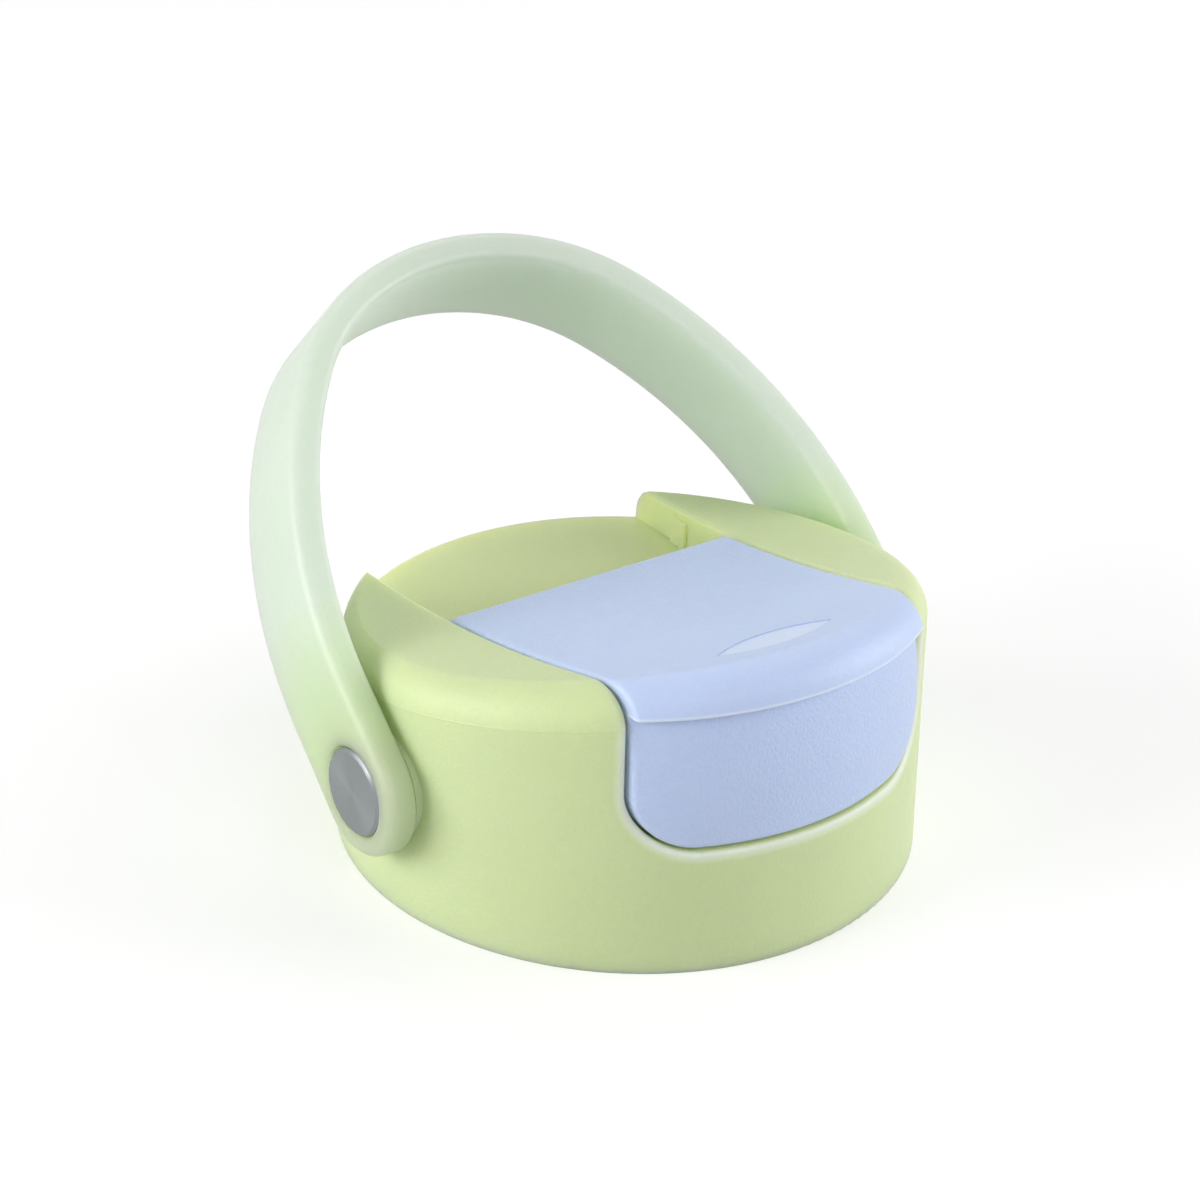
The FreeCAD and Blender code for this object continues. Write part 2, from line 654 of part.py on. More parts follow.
inner_cap = node(cut("inner_cap_final", inner, inner_ways), "inner_cap")

# Neck gasket, spout with its seal, and the air valve.
neck_gasket = node(turned("neck_gasket_body", [
    ("gasket_inner", "neck_groove"), ("gasket_outer", "neck_groove"),
    ("gasket_outer", "neck_top"), ("gasket_inner", "neck_top"),
]), "neck_gasket")
spout = turned("spout_body", [
    ("spout_bore", "spout_flange_under"),
    ("spout_flange", "spout_flange_under"), ("spout_flange", "liner_top"),
    ("spout_root_radius", "liner_top"), ("spout_tip_radius", "spout_height"), ("spout_bore", "spout_height"),
])
spout.setExpression(".Placement.Base.y", "Sizes.spout_y")
spout = node(rounded("spout_final", spout, lambda e: middle(e).z > size("spout_height") - 0.01 and
                     e.BoundBox.ZLength < 0.01, "spout_round"), "spout")
seal = turned("spout_seal_body", [
    ("seal_inner", "seal_floor"), ("seal_outer", "seal_floor"),
    ("seal_outer", "spout_flange_under"), ("seal_inner", "spout_flange_under"),
])
seal.setExpression(".Placement.Base.y", "Sizes.spout_y")
node(seal, "spout_seal")
valve = turned("vent_valve_body", [
    (0, "valve_under"), ("valve_skirt", "valve_under"),
    ("valve_skirt", "neck_top"), ("valve_stem", "neck_top"),
    ("valve_stem", "liner_top"), ("valve_bulb", "liner_top"), ("valve_nose", "valve_top"), (0, "valve_top"),
])
valve.setExpression(".Placement.Base.y", "Sizes.vent_y")
node(valve, "vent_valve")

# Flip lid: top skin flush with the cheeks, lip, scooped front face and hinge barrel.
lid_block = block("lid_block", "-Sizes.lid_half", "-Sizes.sweep_far", "Sizes.lid_knee",
                  "2 * Sizes.lid_half", "Sizes.sweep_far + Sizes.lid_rear", "Sizes.sweep_sky")
toe = slab("lid_toe_window", "XZ_Plane", [
    ("-lid_flat", "toe_bottom"), ("lid_flat", "toe_bottom"), ("lid_half", "lid_knee"),
    ("lid_half", "lip_height"), ("-lid_half", "lip_height"), ("-lid_half", "lid_knee"),
], "Sizes.sweep_far", {1: ("lid_corner", 1), 5: ("lid_corner", 1)}, both=False)
toe_space = cut("lid_toe_space", toe, rod("toe_core", "Sizes.toe_inner", "0", "2 * Sizes.sweep_sky"))
lid_wall = doc.addObject("Part::Cone", "lid_wall_form")
bind(lid_wall, Radius1="lid_base_radius", Radius2="lid_tip_radius", Height="draft_height")
lid_soft = rounded("lid_form_soft", cut("lid_form_raw", lid_wall, dome_sky), at_shoulder, "shoulder_round")
lid_form = cut("lid_form", lid_soft, ramp_sky)
lid_solid = common("lid_solid", lid_form, fuse("lid_space", [lid_block, toe_space]))
scoop = turned("lid_scoop", [
    ("toe_radius", "cutout_bottom"), ("scoop_far", "cutout_bottom"), ("scoop_far", "scoop_head"),
    ("scoop_radius", "scoop_head"),
], {3: ("scoop_sweep", -1)})
under_lip = slab("under_lip", "XZ_Plane", [
    ("-slot_half", 0), ("slot_half", 0), ("slot_half", "lip_side"), ("-slot_half", "lip_side"),
], "Sizes.sweep_far", {2: ("lip_sweep", 1)}, both=False)
lid_faced = cut("lid_faced", lid_solid, common("scoop_space", scoop, under_lip))


def beside_top(edge):
    """Upper edges of the lid's flanks, from the lip back; the rest of the edge follows on."""
    spot = middle(edge)
    return abs(abs(spot.x) - size("lid_half")) < 0.01 and spot.z > size("lip_height")


def on_crease(edge):
    """Lower outer edge of the lip."""
    box = edge.BoundBox
    near = size("lip_side") - size("lid_edge_round") < box.ZMin and box.ZMax < size("lip_height") + 0.01
    return near and box.XLength > 0.01 and reach(edge) > size("wall_tip_radius")


def beside_face(edge):
    """Edges round the lid's front face below the lip."""
    box = edge.BoundBox
    spot = middle(edge)
    upright = box.ZLength > box.YLength or abs(spot.x) < size("lid_half") - 0.01
    return upright and spot.z < size("lip_side") and reach(edge) > size("recess_radius") + size("scoop_depth")


lid_topped = rounded("lid_topped", lid_faced, beside_top, "lid_edge_round")
lid_creased = rounded("lid_creased", lid_topped, on_crease, "crease_round")
lid_edged = rounded("lid_edged", lid_creased, beside_face, "lid_edge_round")
lid_core = common("lid_core",
                  common("lid_core_round",
                         block("lid_core_box", "-Sizes.lid_core_half", "-Sizes.sweep_far", "Sizes.floor_thick",
                               "2 * Sizes.lid_core_half", "Sizes.sweep_far + Sizes.lid_core_rear",
                               "Sizes.sweep_sky"),
                         rod("lid_core_rod", "Sizes.skirt_inner", "0", "2 * Sizes.sweep_sky")),
                  below_ramp("under_skin", "Sizes.lid_skin"))
lid_shell = cut("lid_shell", lid_edged, lid_core)
barrel = rod("hinge_barrel", "Sizes.barrel_radius", "-Sizes.lid_half", "2 * Sizes.lid_half",
             "Sizes.hinge_y", "Sizes.hinge_z", "X")
lid_joined = fuse("lid_joined", [lid_shell, barrel])
mark = slab("mark_outline", "XY_Plane", [("-mark_half", "mark_y"), ("mark_half", "mark_y")],
            "Sizes.sweep_sky", {0: ("mark_radius", 1), 1: ("mark_radius", 1)}, both=False)
mark_space = cut("mark_space", mark, below_ramp("under_mark", "Sizes.mark_depth"))
lid_bore = rod("lid_pin_bore", "Sizes.pin_radius + Sizes.pin_fit", "-Sizes.slot_half", "2 * Sizes.slot_half",
               "Sizes.hinge_y", "Sizes.hinge_z", "X")
sip_lid = node(cut("lid_final", lid_joined, fuse("lid_cuts", [mark_space, lid_bore])), "sip_lid")

# Lid liner and the soft plug that closes the spout.
liner_prism = common("liner_prism",
                     block("liner_box", "Sizes.liner_margin - Sizes.lid_core_half", "-Sizes.sweep_far",
                           "Sizes.floor_thick", "2 * (Sizes.lid_core_half - Sizes.liner_margin)",
                           "Sizes.sweep_far + Sizes.lid_core_rear - Sizes.liner_margin", "Sizes.sweep_sky"),
                     rod("liner_rod", "Sizes.skirt_inner - Sizes.liner_margin", "0", "2 * Sizes.sweep_sky"))
liner_top_part = common("liner_top_part", liner_prism,
                        below_ramp("liner_upper", "(Sizes.lid_skin + Sizes.slip_gap)"))
liner_sheet = cut("liner_sheet", liner_top_part, below_ramp("liner_lower", "(Sizes.lid_skin + Sizes.liner_plate)"))
collar = common("plug_collar_part",
                rod("collar_rod", "Sizes.plug_collar", "Sizes.collar_under", "Sizes.sweep_sky",
                    "0", "Sizes.spout_y"),
                below_ramp("collar_upper", "(Sizes.lid_skin + Sizes.liner_plate / 2)"))
liner_joined = fuse("liner_joined", [liner_sheet, collar])
node(cut("liner_final", liner_joined,
         rod("plug_seat", "Sizes.plug_disc + Sizes.slip_gap", "Sizes.collar_under - Sizes.overrun",
             "Sizes.plug_sink + Sizes.overrun", "0", "Sizes.spout_y")), "lid_liner")
plug = turned("spout_plug_body", [
    (0, "plug_nose"), ("plug_tip", "plug_nose"), ("plug_radius", "plug_under"),
    ("plug_disc", "plug_under"), ("plug_disc", "plug_top"), (0, "plug_top"),
])
plug.setExpression(".Placement.Base.y", "Sizes.spout_y")
node(plug, "spout_plug")

# Hinge pin through the lid's barrel and both cheeks.
node(rod("hinge_pin_rod", "Sizes.pin_radius", "Sizes.pin_end_gap - Sizes.cheek_core",
         "2 * (Sizes.cheek_core - Sizes.pin_end_gap)", "Sizes.hinge_y", "Sizes.hinge_z", "X"), "hinge_pin")

# Carry handle, drawn upright about its pivot and then leaned back.
loop = slab("handle_loop", "XZ_Plane", [
    ("handle_outer", "-strap_low"), ("handle_outer", "leg_z"), ("outer_corner_x", "outer_corner_z"),
    ("outer_crown_x", "outer_crown_z"), ("-outer_crown_x", "outer_crown_z"),
    ("-outer_corner_x", "outer_corner_z"),
    ("-handle_outer", "leg_z"), ("-handle_outer", "-strap_low"), ("-handle_inner", "-strap_low"),
    ("-handle_inner", "leg_z"), ("-inner_corner_x", "inner_corner_z"), ("-inner_crown_x", "inner_crown_z"),
    ("inner_crown_x", "inner_crown_z"), ("inner_corner_x", "inner_corner_z"), ("handle_inner", "leg_z"),
    ("handle_inner", "-strap_low"),
], "2 * Sizes.sweep_far", {
    1: ("outer_leg", 1), 2: ("outer_corner", 1), 3: ("outer_crown", 1),
    4: ("outer_corner", 1), 5: ("outer_leg", 1),
    9: ("inner_leg", -1), 10: ("inner_corner", -1), 11: ("inner_crown", -1), 12: ("inner_corner", -1),
    13: ("inner_leg", -1),
})
side_view = slab("handle_side", "YZ_Plane", [
    ("-eye_front_y", "eye_front_z"), (0, "-eye_radius"), ("eye_back_y", "eye_back_z"),
    ("crown_back", "strap_high"), ("-crown_front", "strap_high"),
], "4 * Sizes.sweep_far", {0: ("eye_radius", 1), 1: ("eye_radius", 1), 2: ("back_sweep", -1), 4: ("front_sweep", 1)})
strap = common("handle_strap", loop, side_view)


def face_border(thing, names, flat_at):
    """Edges between the faces with the named radii, or flat at a distance from the axis, and the rest."""
    doc.recompute()
    uses = {}
    for face in thing.Shape.Faces:
        radius = getattr(face.Surface, "Radius", None)
        if radius is None:
            chosen = face.BoundBox.XLength < 0.01 and abs(abs(face.CenterOfMass.x) - size(flat_at)) < 0.01
        else:
            chosen = min(abs(radius - size(name)) for name in names) < 0.001
        for edge in face.Edges if chosen else []:
            uses[edge.hashCode()] = uses.get(edge.hashCode(), 0) + 1
    return lambda edge: uses.get(edge.hashCode()) == 1


strap_soft = rounded("strap_soft", strap, face_border(strap, ("outer_crown", "outer_corner", "outer_leg"),
                                                      "handle_outer"), "strap_round")
strap_smooth = rounded("strap_smooth", strap_soft,
                       face_border(strap_soft, ("inner_crown", "inner_corner", "inner_leg"), "handle_inner"),
                       "strap_inner_round")
eyes = []
for side in (-1, 1):
    tag = "left" if side < 0 else "right"
    start = "-Sizes.handle_outer - Sizes.overrun" if side < 0 else "Sizes.eye_floor"
    eyes.append(rod("head_well_" + tag, "Sizes.head_well", start,
                    "Sizes.handle_outer - Sizes.eye_floor + Sizes.overrun", "0", "0", "X"))
eyes.append(rod("bush_way", "Sizes.bush_radius", "-Sizes.sweep_far", "2 * Sizes.sweep_far", "0", "0", "X"))
handle = cut("handle_final", strap_smooth, fuse("handle_eyes", eyes))
handle.Placement = FreeCAD.Placement(FreeCAD.Vector(0, 0, 0), FreeCAD.Rotation(FreeCAD.Vector(-1, 0, 0), 45))
handle.setExpression(".Placement.Base.z", "Sizes.pivot_height")
handle.setExpression(".Placement.Rotation.Angle", "Sizes.handle_lean_angle")
node(handle, "handle")

# Pivot hardware, made on the right and mirrored to the left.
rivet = doc.addObject("PartDesign::Body", "rivet_body")
rivet_sketch = outline(new_sketch(rivet, "XZ_Plane", "rivet_outline"), [
    ("tail_face", 0), ("head_face", 0), ("head_face", "bevel_radius"), ("bevel_start", "head_radius"),
    ("head_under", "head_radius"), ("head_under", "shaft_radius"), ("tail_face", "shaft_radius"),
])
rivet_spin = rivet.newObject("PartDesign::Revolution", "rivet_turn")
rivet_spin.Profile = rivet_sketch
rivet_spin.ReferenceAxis = (rivet_sketch, ["H_Axis"])
rivet_spin.Angle = 360
rivet_sketch.Visibility = False
rivet.setExpression(".Placement.Base.z", "Sizes.pivot_height")
washer = tube("washer_right", "Sizes.washer_radius", "Sizes.shaft_hole",
              "Sizes.boss_face", "Sizes.washer_thick")
bush = tube("bush_right", "Sizes.bush_radius", "Sizes.shaft_hole", "Sizes.handle_inner",
            "Sizes.eye_floor - Sizes.handle_inner")
clip = tube("clip_right", "Sizes.clip_radius", "Sizes.shaft_radius", "Sizes.clip_face", "Sizes.clip_thick")
for source, label in ((rivet, "pivot_rivet"), (washer, "friction_washer"), (bush, "eye_bush"), (clip, "rivet_clip")):
    node(source, label + "_right")
    node(mirrored(label + "_mirror", source), label + "_left")

doc.recompute()
for thing in doc.Objects:
    if "Invalid" in thing.State or "Error" in thing.State:
        raise RuntimeError("%s is not built: %s" % (thing.Name, thing.State))
os.makedirs("parts", exist_ok=True)
for thing in NODES:
    shape = thing.Shape
    if shape.isNull() or not shape.isValid() or not shape.Solids:
        raise RuntimeError("%s has no valid solid" % thing.Label)
    shape.exportStep("parts/%s.step" % thing.Label)
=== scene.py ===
import math

import bpy
from mathutils import Euler, Matrix, Vector

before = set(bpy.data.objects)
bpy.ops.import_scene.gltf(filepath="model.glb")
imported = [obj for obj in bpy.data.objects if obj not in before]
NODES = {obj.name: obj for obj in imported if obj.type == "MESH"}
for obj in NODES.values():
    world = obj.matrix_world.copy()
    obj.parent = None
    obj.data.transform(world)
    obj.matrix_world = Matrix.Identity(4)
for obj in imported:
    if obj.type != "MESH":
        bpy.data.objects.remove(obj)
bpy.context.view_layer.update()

# Camera of the photograph: axes as unit vectors and place in metres.
CAMERA_RIGHT = Vector((0.80972, -0.58561, 0.03757))
CAMERA_UP = Vector((0.24832, 0.39996, 0.88225))
CAMERA_BACK = Vector((-0.53168, -0.70505, 0.46927))
CAMERA_TARGET = Vector((-0.003375, 0.002545, 0.029634))
CAMERA_DISTANCE = 0.4
FOCAL_PIXELS = 3309.2
FRAME_PIXELS = 1200
SENSOR_MM = 36
CAMERA_NEAR = 0.01

# Colours in linear light.
SHELL_GREEN = (0.60, 0.70, 0.385)
# Painted light: lighter, yellower green for the slot faces and the deck, in place of light glowing
# through the plastic.
SLOT_PAINTED_LIGHT = (0.72, 0.81, 0.40)
# Painted highlight: pale colour for the rim fillet round the front window.
RIM_HIGHLIGHT_COLOUR = (0.78, 0.84, 0.70)
LID_BLUE = (0.50, 0.60, 0.84)
# Painted shade: darker blue for the line round the recessed edge of the mark.
LID_PAINTED_SHADE = (0.36, 0.46, 0.72)
MARK_BLUE = (0.60, 0.69, 0.88)
# Painted highlight: pale blue for the thin bright edge along the lip.
LIP_HIGHLIGHT_COLOUR = (0.70, 0.78, 0.92)
HANDLE_MINT = (0.67, 0.77, 0.65)
# Painted glow: greener colour near the pivot, in place of the green shell seen through the elastomer.
HANDLE_GLOW_GREEN = (0.65, 0.88, 0.44)
LINER_WHITE = (0.80, 0.80, 0.78)
SILICONE_CLEAR = (0.74, 0.76, 0.76)
WASHER_WHITE = (0.70, 0.71, 0.70)
STEEL = (0.27, 0.29, 0.30)

# Places on the cap in metres: front window and its rim, slot, mould line, mark on the lid, lip, pivot
# and the reach of the painted glow round it.
SLOT_HALF = 0.0213
WINDOW_CORNER = 0.0076
WINDOW_KNEE = 0.0236
RIM_WIDTH = 0.0011
RIM_FADE_START = 0.0305
RIM_FADE_END = 0.0335
WALL_INSIDE = 0.0332
DECK_Z = 0.0230
MOULD_LINE_Z = 0.0263
MOULD_LINE_SLOPE = 0.205
MOULD_LINE_CORE = 0.00004
MOULD_LINE_EDGE = 0.00016
MOULD_LINE_RISE = 0.00004
MARK_Y = -0.0263
MARK_BOW = 0.0023
MARK_RADIUS = 0.01649
BORDER_CORE = 0.00003
BORDER_EDGE = 0.00012
LIP_Z = 0.0339
LIP_BOW = 0.0008
PIVOT_Z = 0.0157
GLOW_FADE_START = 0.006
GLOW_FADE_END = 0.024

# How strongly painted highlight, painted light, painted shade and the darker speckle cover the pigment
# under it.
RIM_HIGHLIGHT_SHARE = 0.8
SLOT_LIGHT_SHARE = 0.8
LIP_HIGHLIGHT_SHARE = 0.8
BORDER_SHADE_SHARE = 0.5
SPECKLE_SHADE = 0.06

# Noise of the surfaces: cells per metre, then the range of its values that is used.
CLOUD_SCALE = 60
SPECKLE_SCALE = 2300
GRAIN_SCALE = 2600
ROUGH_SCALE = 900
STEEL_ROUGH_SCALE = 700
STEEL_GRAIN_SCALE = 3000
CLOUD_RANGE = (0.35, 0.65)
NOISE_RANGE = (0.3, 0.7)

# Surfaces: heights of the grain in metres, turning rings in radians per metre, plain shares.
SHELL_GRAIN = 0.00007
LID_GRAIN = 0.00005
LID_FACE_GRAIN = 0.0001
HANDLE_GRAIN = 0.000006
STEEL_GRAIN = 0.0000006
RING_COUNT = 30000
RING_RISE = 0.000001
RING_SHEEN = 0.7
STEEL_ROUGHNESS = (0.27, 0.31)
PLASTIC_IOR = 1.47
BLOOM_ROUGHNESS = 0.45

# Lights: azimuth and elevation in degrees seen from the cap, distance, width, height, power in watts.
LIGHT_CENTRE = Vector((0, 0, 0.03))
LIGHTS = (
    ("key_box", 163, 19, 1.0, 0.8, 0.5, 8.2),
    ("right_box", -31, 16, 1.0, 0.6, 0.5, 5.5),
    ("front_box", -103, 34, 1.0, 0.6, 0.5, 2.3),
    ("back_box", 36, 52, 1.2, 0.8, 0.7, 2.7),
)
WORLD_LIGHT = 0.38
FLOOR_HALF = 0.75
FLOOR_GREY = 0.6
FLOOR_LIFT = 0.43
FLOOR_ROUGHNESS = 0.9
FLOOR_GLOSS = 0.1


def new_material(name):
    material = bpy.data.materials.new(name)
    material.use_nodes = True
    tree = material.node_tree
    tree.nodes.clear()
    output = tree.nodes.new("ShaderNodeOutputMaterial")
    shader = tree.nodes.new("ShaderNodeBsdfPrincipled")
    tree.links.new(shader.outputs["BSDF"], output.inputs["Surface"])
    return material, tree, shader


def add_node(tree, kind, **settings):
    item = tree.nodes.new(kind)
    for key, value in settings.items():
        if key in item.inputs:
            item.inputs[key].default_value = value
        else:
            setattr(item, key, value)
    return item


def object_point(tree):
    return add_node(tree, "ShaderNodeTexCoord").outputs["Object"]


def noise(tree, place, scale, detail=3.0, roughness=0.5):
    item = add_node(tree, "ShaderNodeTexNoise")
    item.inputs["Scale"].default_value = scale
    item.inputs["Detail"].default_value = detail
    item.inputs["Roughness"].default_value = roughness
    tree.links.new(place, item.inputs["Vector"])
    return item.outputs["Fac"]


def spread(tree, value, low, high, to_low, to_high):
    item = add_node(tree, "ShaderNodeMapRange")
    for key, number in (("From Min", low), ("From Max", high), ("To Min", to_low), ("To Max", to_high)):
        item.inputs[key].default_value = number
    tree.links.new(value, item.inputs["Value"])
    return item.outputs["Result"]


def calc(tree, operation, first, second=None):
    item = add_node(tree, "ShaderNodeMath", operation=operation)
    for slot, value in enumerate((first, second)):
        if value is None:
            continue
        if isinstance(value, (int, float)):
            item.inputs[slot].default_value = value
        else:
            tree.links.new(value, item.inputs[slot])
    return item.outputs[0]


def blend_colour(tree, amount, first, second):
    item = add_node(tree, "ShaderNodeMix", data_type="RGBA")
    tree.links.new(amount, item.inputs[0])
    for slot, value in ((6, first), (7, second)):
        if isinstance(value, tuple):
            item.inputs[slot].default_value = (*value, 1)
        else:
            tree.links.new(value, item.inputs[slot])
    return item.outputs[2]


def bump(tree, shader, height, distance, strength=1.0, below=None):
    item = add_node(tree, "ShaderNodeBump")
    item.inputs["Strength"].default_value = strength
    item.inputs["Distance"].default_value = distance
    tree.links.new(height, item.inputs["Height"])
    if below is not None:
        tree.links.new(below, item.inputs["Normal"])
    tree.links.new(item.outputs["Normal"], shader.inputs["Normal"])
    return item.outputs["Normal"]


def scaled(colour, factor):
    return tuple(min(channel * factor, 1.0) for channel in colour)


def moulded_plastic(name, colour, roughness=0.46, glow=0.3, glow_reach=0.003, grain=0.00001,
                    bloom=0.1, glow_tint=(1.0, 0.9, 0.5), gloss=0.5, clear=0.0):
    """Satin moulded plastic: fine eroded grain, faint flow clouds, light that spreads inside."""
    material, tree, shader = new_material(name)
    place = object_point(tree)
    tint = spread(tree, noise(tree, place, CLOUD_SCALE, 4), *CLOUD_RANGE, 0, 1)
    speckle = spread(tree, noise(tree, place, SPECKLE_SCALE, 2, 0.6), *NOISE_RANGE, 0, 1)
    clouded = blend_colour(tree, tint, scaled(colour, 0.98), scaled(colour, 1.01))
    speckle_share = calc(tree, "MULTIPLY", speckle, SPECKLE_SHADE)
    pigment = blend_colour(tree, speckle_share, clouded, scaled(colour, 0.5))
    tree.links.new(pigment, shader.inputs["Base Color"])
    rough_noise = noise(tree, place, ROUGH_SCALE, 3)
    rough = spread(tree, rough_noise, *NOISE_RANGE, roughness - 0.05, roughness + 0.06)
    tree.links.new(rough, shader.inputs["Roughness"])
    shader.inputs["IOR"].default_value = PLASTIC_IOR
    shader.inputs["Specular IOR Level"].default_value = gloss
    shader.inputs["Transmission Weight"].default_value = clear
    shader.inputs["Subsurface Weight"].default_value = glow
    shader.inputs["Subsurface Radius"].default_value = glow_tint
    shader.inputs["Subsurface Scale"].default_value = glow_reach
    shader.inputs["Sheen Weight"].default_value = bloom
    shader.inputs["Sheen Roughness"].default_value = BLOOM_ROUGHNESS
    skin = bump(tree, shader, noise(tree, place, GRAIN_SCALE, 2, 0.6), grain)
    return material, tree, shader, place, pigment, skin


def dress(name, material):
    """Gives one CAD node its material."""
    item = NODES[name]
    if not item.data.materials:
        item.data.materials.append(material)
    for index in range(len(item.data.materials)):
        item.data.materials[index] = material


def split(tree, place):
    item = add_node(tree, "ShaderNodeSeparateXYZ")
    tree.links.new(place, item.inputs[0])
    return item.outputs[0], item.outputs[1], item.outputs[2]


def length_of(tree, first, second):
    squares = calc(tree, "ADD", calc(tree, "POWER", first, 2), calc(tree, "POWER", second, 2))
    return calc(tree, "SQRT", squares)


def pivot_distance(tree, place):
    """Distance from the axis of the pivot rivets."""
    y, z = split(tree, place)[1:]
    return length_of(tree, y, calc(tree, "SUBTRACT", z, PIVOT_Z))


def window_distance(tree, x, z):
    """Distance outward from the edge of the slot and of the front window."""
    off_middle = calc(tree, "ABSOLUTE", x)
    across = calc(tree, "MAXIMUM", calc(tree, "SUBTRACT", off_middle, SLOT_HALF - WINDOW_CORNER), 0)
    down = calc(tree, "MAXIMUM", calc(tree, "SUBTRACT", WINDOW_KNEE, z), 0)
    return calc(tree, "SUBTRACT", length_of(tree, across, down), WINDOW_CORNER)


def shell_material():
    """Pale green plastic: painted highlight as a whitish rim round the window, painted light making the
    slot lighter, fine mould line on the wall.
    """
    material, tree, shader, place, pigment, skin = moulded_plastic(
        "shell_plastic", SHELL_GREEN, glow=0.8, glow_reach=0.005, grain=SHELL_GRAIN, bloom=0,
        glow_tint=(1.0, 0.9, 0.4), gloss=0.4)
    x, y, z = split(tree, place)
    from_window = window_distance(tree, x, z)
    # Painted highlight: a whitish band just outside the edge of the window, on the front wall below the
    # top.
    rim_highlight_rise = spread(tree, from_window, 0.02 * RIM_WIDTH, 0.2 * RIM_WIDTH, 0, 1)
    rim_highlight_fall = spread(tree, from_window, 0.5 * RIM_WIDTH, 1.4 * RIM_WIDTH, RIM_HIGHLIGHT_SHARE, 0)
    at_front = calc(tree, "LESS_THAN", y, 0)
    on_wall = calc(tree, "GREATER_THAN", length_of(tree, x, y), WALL_INSIDE)
    below_top = spread(tree, z, RIM_FADE_START, RIM_FADE_END, 1, 0)
    rim_highlight_place = calc(tree, "MULTIPLY", calc(tree, "MULTIPLY", at_front, on_wall), below_top)
    rim_highlight_mask = calc(tree, "MULTIPLY", calc(tree, "MULTIPLY", rim_highlight_rise, rim_highlight_fall), rim_highlight_place)
    # Painted light: the slot faces and the deck above DECK_Z are made lighter and yellower.
    slot_light_band = spread(tree, from_window, 0.01 * RIM_WIDTH, 0.1 * RIM_WIDTH, SLOT_LIGHT_SHARE, 0)
    above_deck = calc(tree, "GREATER_THAN", z, DECK_Z)
    slot_light_mask = calc(tree, "MULTIPLY", slot_light_band, above_deck)
    slot_lit_greens = blend_colour(tree, slot_light_mask, pigment, SLOT_PAINTED_LIGHT)
    tree.links.new(blend_colour(tree, rim_highlight_mask, slot_lit_greens, RIM_HIGHLIGHT_COLOUR), shader.inputs["Base Color"])
    line_height = calc(tree, "ADD", z, calc(tree, "MULTIPLY", y, MOULD_LINE_SLOPE))
    off_line = calc(tree, "ABSOLUTE", calc(tree, "SUBTRACT", line_height, MOULD_LINE_Z))
    ridge = spread(tree, off_line, MOULD_LINE_CORE, MOULD_LINE_EDGE, 1, 0)
    bump(tree, shader, ridge, MOULD_LINE_RISE, below=skin)
    return material


def lid_material():
    """Pale blue plastic: lens-shaped mark a shade lighter with a painted shade line round its recessed
    edge, painted highlight as a pale edge on the lip, coarse grain below.
    """
    material, tree, shader, place, pigment, skin = moulded_plastic(
        "lid_plastic", LID_BLUE, grain=LID_GRAIN)
    x, y, z = split(tree, place)
    arcs = []
    for side in (-1, 1):
        centre_y = MARK_Y + side * (MARK_RADIUS - MARK_BOW)
        arcs.append(length_of(tree, x, calc(tree, "SUBTRACT", y, centre_y)))
    outside = calc(tree, "SUBTRACT", calc(tree, "MAXIMUM", arcs[0], arcs[1]), MARK_RADIUS)
    mark = spread(tree, outside, -0.0001, 0.00002, 1, 0)
    marked = blend_colour(tree, mark, pigment, MARK_BLUE)
    # Painted shade: a thin darker line along the recessed edge of the mark, on the lid top.
    off_border = calc(tree, "ABSOLUTE", outside)
    on_top = calc(tree, "GREATER_THAN", z, LIP_Z)
    border_shade_line = spread(tree, off_border, BORDER_CORE, BORDER_EDGE, BORDER_SHADE_SHARE, 0)
    border_shade_mask = calc(tree, "MULTIPLY", border_shade_line, on_top)
    shade_outlined = blend_colour(tree, border_shade_mask, marked, LID_PAINTED_SHADE)
    across_square = calc(tree, "POWER", calc(tree, "DIVIDE", x, SLOT_HALF), 2)
    bow = calc(tree, "MULTIPLY", across_square, LIP_BOW)
    over_lip = calc(tree, "SUBTRACT", calc(tree, "ADD", z, bow), LIP_Z)
    # Painted highlight: a thin pale band just above the lip crease, on the front of the lid.
    lip_highlight_rise = spread(tree, over_lip, -0.0001, 0.00005, 0, LIP_HIGHLIGHT_SHARE)
    lip_highlight_fall = spread(tree, over_lip, 0.0003, 0.0006, 1, 0)
    at_wall = calc(tree, "GREATER_THAN", length_of(tree, x, y), WALL_INSIDE)
    lip_highlight_mask = calc(tree, "MULTIPLY", calc(tree, "MULTIPLY", lip_highlight_rise, lip_highlight_fall), at_wall)
    tree.links.new(blend_colour(tree, lip_highlight_mask, shade_outlined, LIP_HIGHLIGHT_COLOUR), shader.inputs["Base Color"])
    face = spread(tree, over_lip, -0.0005, 0, 1, 0)
    grit = calc(tree, "MULTIPLY", noise(tree, place, GRAIN_SCALE, 2, 0.6), face)
    bump(tree, shader, grit, LID_FACE_GRAIN, below=skin)
    return material


def handle_material():
    """Milky elastomer that lets light through; painted glow makes it greener round the eyes, in place
    of the green shell seen through it.
    """
    material, tree, shader, place, pigment = moulded_plastic(
        "handle_elastomer", HANDLE_MINT, roughness=0.4, glow=1.0, glow_reach=0.01,
        grain=HANDLE_GRAIN, glow_tint=(0.9, 1.0, 0.85), clear=0.25)[:5]
    # Painted glow: the handle is greener round the eyes and fades to mint with distance from the pivot.
    painted_glow = spread(tree, pivot_distance(tree, place), GLOW_FADE_START, GLOW_FADE_END, 1, 0)
    tree.links.new(blend_colour(tree, painted_glow, pigment, HANDLE_GLOW_GREEN), shader.inputs["Base Color"])
    return material


